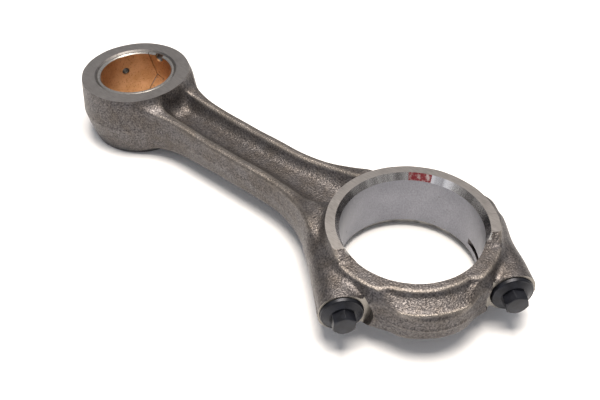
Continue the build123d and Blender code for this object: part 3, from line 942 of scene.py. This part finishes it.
# %% Bronze, bush steel and bolt finish
def bronze():
    material, tree, place = new_material("sintered_bronze")
    grain = add(tree, "ShaderNodeTexNoise", inputs={
        "Vector": place, "Scale": per_size(0.9), "Detail": 3.0, "Roughness": 0.7})
    cloud = add(tree, "ShaderNodeTexNoise", inputs={
        "Vector": place, "Scale": per_size(8), "Detail": 3.0})
    share = add(tree, "ShaderNodeMapRange", inputs={
        "Value": cloud.outputs["Fac"], "From Min": 0.35, "From Max": 0.65})
    base = add(tree, "ShaderNodeMix", {"data_type": "RGBA"}, {
        "Factor": share.outputs[0], 6: colour("#a87d55"), 7: colour("#bb9069")})
    pore = add(tree, "ShaderNodeMapRange", inputs={
        "Value": grain.outputs["Fac"], "From Min": 0.58, "From Max": 0.68})
    freckled = add(tree, "ShaderNodeMix", {"data_type": "RGBA"}, {
        "Factor": pore.outputs[0], 6: base.outputs[2], 7: colour("#5e3a20")})
    bumped = add(tree, "ShaderNodeBump", inputs={
        "Height": grain.outputs["Fac"], "Strength": 0.4, "Distance": 0.1 * MM})
    rough = add(tree, "ShaderNodeMapRange", inputs={
        "Value": grain.outputs["Fac"], "From Min": 0.3, "From Max": 0.7, "To Min": 0.38, "To Max": 0.5})
    finish_material(tree, freckled.outputs[2], rough.outputs[0], bumped.outputs[0], Metallic=0.9)
    return material


def phosphated_steel(name, dark, light, roughness):
    material, tree, place = new_material(name)
    crystal = add(tree, "ShaderNodeTexNoise", inputs={
        "Vector": place, "Scale": per_size(0.6), "Detail": 3.0, "Roughness": 0.6})
    cloud = add(tree, "ShaderNodeTexNoise", inputs={
        "Vector": place, "Scale": per_size(4), "Detail": 2.0})
    share = add(tree, "ShaderNodeMapRange", inputs={
        "Value": cloud.outputs["Fac"], "From Min": 0.35, "From Max": 0.7})
    base = add(tree, "ShaderNodeMix", {"data_type": "RGBA"}, {
        "Factor": share.outputs[0], 6: colour(dark), 7: colour(light)})
    rough = add(tree, "ShaderNodeMapRange", inputs={
        "Value": crystal.outputs["Fac"], "From Min": 0.3, "From Max": 0.7,
        "To Min": roughness - 0.05, "To Max": roughness + 0.07})
    bumped = add(tree, "ShaderNodeBump", inputs={
        "Height": crystal.outputs["Fac"], "Strength": 0.3, "Distance": 0.05 * MM})
    finish_material(tree, base.outputs[2], rough.outputs[0], bumped.outputs[0], Metallic=0.5)
    return material


PAINT_START, PAINT_END = 108, 127


def brushed_paint():
    """A thin dab of red, through which the turned steel still shows in streaks."""
    material, tree, place = new_material("red_sorting_paint_on_steel")
    streak = add(tree, "ShaderNodeTexNoise", inputs={
        "Vector": place, "Scale": per_size(2.4), "Detail": 4.0, "Roughness": 0.7})
    cover = add(tree, "ShaderNodeMapRange", inputs={
        "Value": streak.outputs["Fac"], "From Min": 0.34, "From Max": 0.52})
    base = add(tree, "ShaderNodeMix", {"data_type": "RGBA"}, {
        "Factor": cover.outputs[0], 6: colour("#b0a19b"), 7: colour("#7a2a2e")})
    rough = add(tree, "ShaderNodeMapRange", inputs={
        "Value": cover.outputs[0], "To Min": 0.25, "To Max": 0.4})
    bumped = add(tree, "ShaderNodeBump", inputs={
        "Height": cover.outputs[0], "Strength": 0.3, "Distance": 0.05 * MM})
    finish_material(tree, base.outputs[2], rough.outputs[0], bumped.outputs[0], Metallic=0.5)
    return material


painted_steel = brushed_paint()
bronze_material = bronze()
rim_steel = worked_steel("rolled_bush_steel", "#c4c1bb", "#a5a19b", 0.30, (1, 1, 1), 0.6, 0.80, 0.15)
black_steel = phosphated_steel("phosphated_bolt_steel", "#17181d", "#24262d", 0.36)
print("made", bronze_material.name, rim_steel.name, black_steel.name)

# %% [markdown]
# Each cut face gets its finish by where it lies and which way it faces, the way a machinist would
# read it off the drawing. Everything that no tool touched keeps the blasted skin.

# %% Finishes by face
def face_table(thing):
    """Centres in millimetres and normals of a piece's faces, also along and off the joint."""
    mesh = thing.data
    centre = np.empty(len(mesh.polygons) * 3)
    mesh.polygons.foreach_get("center", centre)
    normal = np.empty(len(mesh.polygons) * 3)
    mesh.polygons.foreach_get("normal", normal)
    centre = centre.reshape(-1, 3) / MM
    normal = normal.reshape(-1, 3)
    return centre, normal, centre @ np.array(ALONG), centre @ np.array(OFF)


def shade(thing, materials, index, sharp=20):
    """Gives each face its finish, with smooth shading that stops where one finish meets another."""
    mesh = thing.data
    mesh.materials.clear()
    for material in materials:
        mesh.materials.append(material)
    mesh.polygons.foreach_set("material_index", np.asarray(index, np.int32))
    mesh.polygons.foreach_set("use_smooth", np.ones(len(mesh.polygons), bool))
    mesh.set_sharp_from_angle(angle=math.radians(sharp))
    corner_edge = np.empty(len(mesh.loops), np.int64)
    mesh.loops.foreach_get("edge_index", corner_edge)
    corner_count = np.empty(len(mesh.polygons), np.int64)
    mesh.polygons.foreach_get("loop_total", corner_count)
    corner_finish = np.repeat(np.asarray(index, np.int64), corner_count)
    lowest = np.full(len(mesh.edges), len(materials))
    highest = np.full(len(mesh.edges), -1)
    np.minimum.at(lowest, corner_edge, corner_finish)
    np.maximum.at(highest, corner_edge, corner_finish)
    crisp = np.empty(len(mesh.edges), bool)
    mesh.edges.foreach_get("use_edge_sharp", crisp)
    mesh.edges.foreach_set("use_edge_sharp", crisp | (lowest != highest))
    mesh.update()


def mark_wear_and_shade(thing, reach=2.0):
    """Stores how far each point of the skin stands out of its surroundings, in millimetres; this lightens
    ridges with wear and a painted highlight, and darkens hollows with a painted shade.
    """
    mesh = thing.data
    place = np.empty(len(mesh.vertices) * 3)
    mesh.vertices.foreach_get("co", place)
    place = place.reshape(-1, 3) / MM
    steps = np.concatenate((np.eye(3), -np.eye(3))) * reach
    nearby = [forging_field(*(place + step).T) for step in steps]
    wear_and_shade = mesh.attributes.new("edge_wear_and_painted_shade", "FLOAT", "POINT")
    wear_and_shade.data.foreach_set("value", np.mean(nearby, axis=0).astype(np.float32))
    print(thing.name, "wear from", round(float(np.min(nearby)), 1), "to", round(float(np.max(nearby)), 1))


def machined_index(thing):
    """0 skin, 1 ground, 2 honed, 3 turned, 4 spot-faced or reamed, 5 drilled, also a painted shadow on the
    small eye's chamfer, 6 split, 7 painted.
    """
    centre, normal, along, off = face_table(thing)
    height = np.abs(centre[:, 2])
    from_big = np.hypot(centre[:, 0], centre[:, 1])
    from_small = np.hypot(centre[:, 0] - SMALL_EYE.x, centre[:, 1])
    level = np.abs(normal[:, 2]) > 0.99
    from_bolt = np.hypot(np.abs(along) - BOLT_ALONG, centre[:, 2])
    index = np.zeros(len(centre), int)
    index[level & (height > THRUST_HEIGHT - 0.01) & (from_big < 60)] = 1
    index[level & (height > SMALL_FACE - 0.01)] = 1
    index[~level & ((from_big < BIG_BORE_R + 0.05) | (from_small < SMALL_BORE_R + 0.05))] = 2
    index[(from_big > BIG_BORE_R + 0.05) & (from_big < 36.7) & (height > 13.4) & ~level & (off < 14.5)
          & (np.abs(normal[:, 2]) > 0.3)] = 3
    round_bore = np.degrees(np.arctan2(centre[:, 1], centre[:, 0]))
    index[(index == 3) & (centre[:, 2] > 0) & (round_bore > PAINT_START) & (round_bore < PAINT_END)] = 7
    # The small eye's chamfer takes the dark drilled finish as a painted shadow, a dark gap round the bush.
    index[(from_small < SMALL_BORE_R + 1.1) & (height > 17.9) & ~level] = 5
    index[(off > SEAT_OFF - 0.05) & (off < SEAT_OFF + 0.05) & (from_bolt < SPOT_FACE_R + 0.1)] = 4
    index[(from_bolt < HOLE_R + 0.7) & (off < SEAT_OFF - 0.1) & (off > THREAD_END - 0.1)
          & (from_big > BIG_BORE_R + 0.1)] = 5
    to_oil = centre - np.array(SMALL_EYE + UP * OIL_HEIGHT)
    from_oil_axis = np.linalg.norm(np.cross(to_oil, np.array(OIL_DIRECTION)), axis=1)
    index[(from_oil_axis < OIL_R + 0.01) & (to_oil @ np.array(OIL_DIRECTION) > 0)] = 4
    index[(np.abs(off) < JOINT_GAP + 0.01) & (np.abs(normal @ np.array(OFF)) > 0.99)] = 6
    return index


finishes = [
    skin_steel, ground_steel, honed_steel, turned_steel,
    milled_steel, drilled_steel_and_painted_shadow, split_steel, painted_steel,
]
for half_piece in (rod, cap):
    shade(half_piece, finishes, machined_index(half_piece))
    mark_wear_and_shade(half_piece)


def bush_index(thing):
    """0 on the working face, 1 on the ends and edges."""
    centre, normal, _, _ = face_table(thing)
    return (np.abs(centre[:, 2]) > BUSH_HALF_WIDTH - BUSH_CHAMFER - 0.01).astype(int)


shade(lining, [bronze_material, rim_steel], bush_index(lining))
for thing, material in ((shell, rim_steel), (bolt_side, black_steel), (bolt_foot, black_steel)):
    shade(thing, [material], np.zeros(len(thing.data.polygons)))
print("finishes given to", len(rod.data.polygons) + len(cap.data.polygons), "faces of the forging")

# %% [markdown]
# Each piece moves with the body it belongs to: the rod carries the bush, the cap lifts off it,
# and each bolt unscrews on its own. A piece that stands for a CAD node hides that node.

# %% Bodies, replaced nodes and finish slots
PIECES = [
    (rod, "rod", "rod_body", "forged_steel"),
    (cap, "cap", "bearing_cap", "forged_steel"),
    (shell, "rod", "small_end_bush_backing", "bush_steel"),
    (lining, "rod", "small_end_bush_lining", "bronze"),
    (bolt_side, "bolt_side", "cap_bolt_side", "bolt_steel"),
    (bolt_foot, "bolt_foot", "cap_bolt_foot", "bolt_steel"),
]
for thing, body, node, slot in PIECES:
    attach(thing, body)
    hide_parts(node)
    print(thing.name, "rides on", body)

# %% [markdown]
# The set is a plain pale floor that the rod rests on, lit as in a small studio: one large soft box
# straight above the rod, and a faint cool fill from the front. Faces that tip a little towards the
# camera reflect the box and shine, while upright walls stay dark, and that shows the shapes.

# %% Floor, lights and world
FLOOR_Z = -19.0


def floor_material():
    material, tree, place = new_material("pale_matt_floor")
    tooth = add(tree, "ShaderNodeTexNoise", inputs={"Vector": place, "Scale": per_size(3), "Detail": 2.0})
    share = add(tree, "ShaderNodeMix", {"data_type": "RGBA"}, {
        "Factor": tooth.outputs["Fac"], 6: colour("#f4f5f6"), 7: colour("#fafafa")})
    finish_material(tree, share.outputs[2], 0.75, None, Metallic=0.0)
    return material


FLOOR_HALF = 2500
floor_corners = [(x * FLOOR_HALF, y * FLOOR_HALF, FLOOR_Z) for x, y in ((-1, -1), (1, -1), (1, 1), (-1, 1))]
floor = piece("floor", floor_corners, [(0, 1, 2, 3)])
floor.data.materials.append(floor_material())


def soft_box(name, place, aim, size, power, tint):
    light = bpy.data.lights.new(name, "AREA")
    light.shape = "RECTANGLE"
    light.size = size[0] * MM
    light.size_y = size[1] * MM
    light.energy = power
    light.color = colour(tint)[:3]
    lamp = bpy.data.objects.new(name, light)
    bpy.context.scene.collection.objects.link(lamp)
    lamp.location = Vector(place) * MM
    lamp.rotation_euler = (Vector(aim) - Vector(place)).to_track_quat("-Z", "Y").to_euler()


middle = (-80, 0, 0)
soft_box("key_box", (-40, 40, 800), middle, (480, 480), 12, "#fff6ec")
soft_box("front_fill", (100, -900, 250), middle, (900, 400), 0.7, "#e6ecff")

world = bpy.data.worlds.new("studio_air")
bpy.context.scene.world = world
world.use_nodes = True
world.node_tree.nodes["Background"].inputs["Color"].default_value = colour("#eaeaee")
world.node_tree.nodes["Background"].inputs["Strength"].default_value = 0.50
bpy.context.scene.view_settings.view_transform = "Standard"

# %% [markdown]
# The camera looks down on the rod from the cap's side, at 43 degrees, with a normal lens from about
# 40 cm away. It is turned a little about its own axis, as a hand-held picture would be.

# %% Camera
CAMERA_PLACE = (128.6, -223.3, 266.8)
AZIMUTH = math.radians(41.725)
ELEVATION = math.radians(42.75)
ROLL = math.radians(-1.352)
LENS = 45.19

level_back = Vector((math.sin(AZIMUTH), -math.cos(AZIMUTH), 0))
back = level_back * math.cos(ELEVATION) + UP * math.sin(ELEVATION)
right = UP.cross(back).normalized()
above = back.cross(right)
rolled_right = right * math.cos(ROLL) + above * math.sin(ROLL)
rolled_above = above * math.cos(ROLL) - right * math.sin(ROLL)
camera_data = bpy.data.cameras.new("camera")
camera_data.lens = LENS
camera_data.sensor_width = 36
camera_data.dof.use_dof = False
camera = bpy.data.objects.new("camera", camera_data)
bpy.context.scene.collection.objects.link(camera)
turn = Matrix((rolled_right, rolled_above, back)).transposed()
camera.matrix_world = Matrix.Translation(Vector(CAMERA_PLACE) * MM) @ turn.to_4x4()
bpy.context.scene.camera = camera
print("camera at", CAMERA_PLACE, "mm")
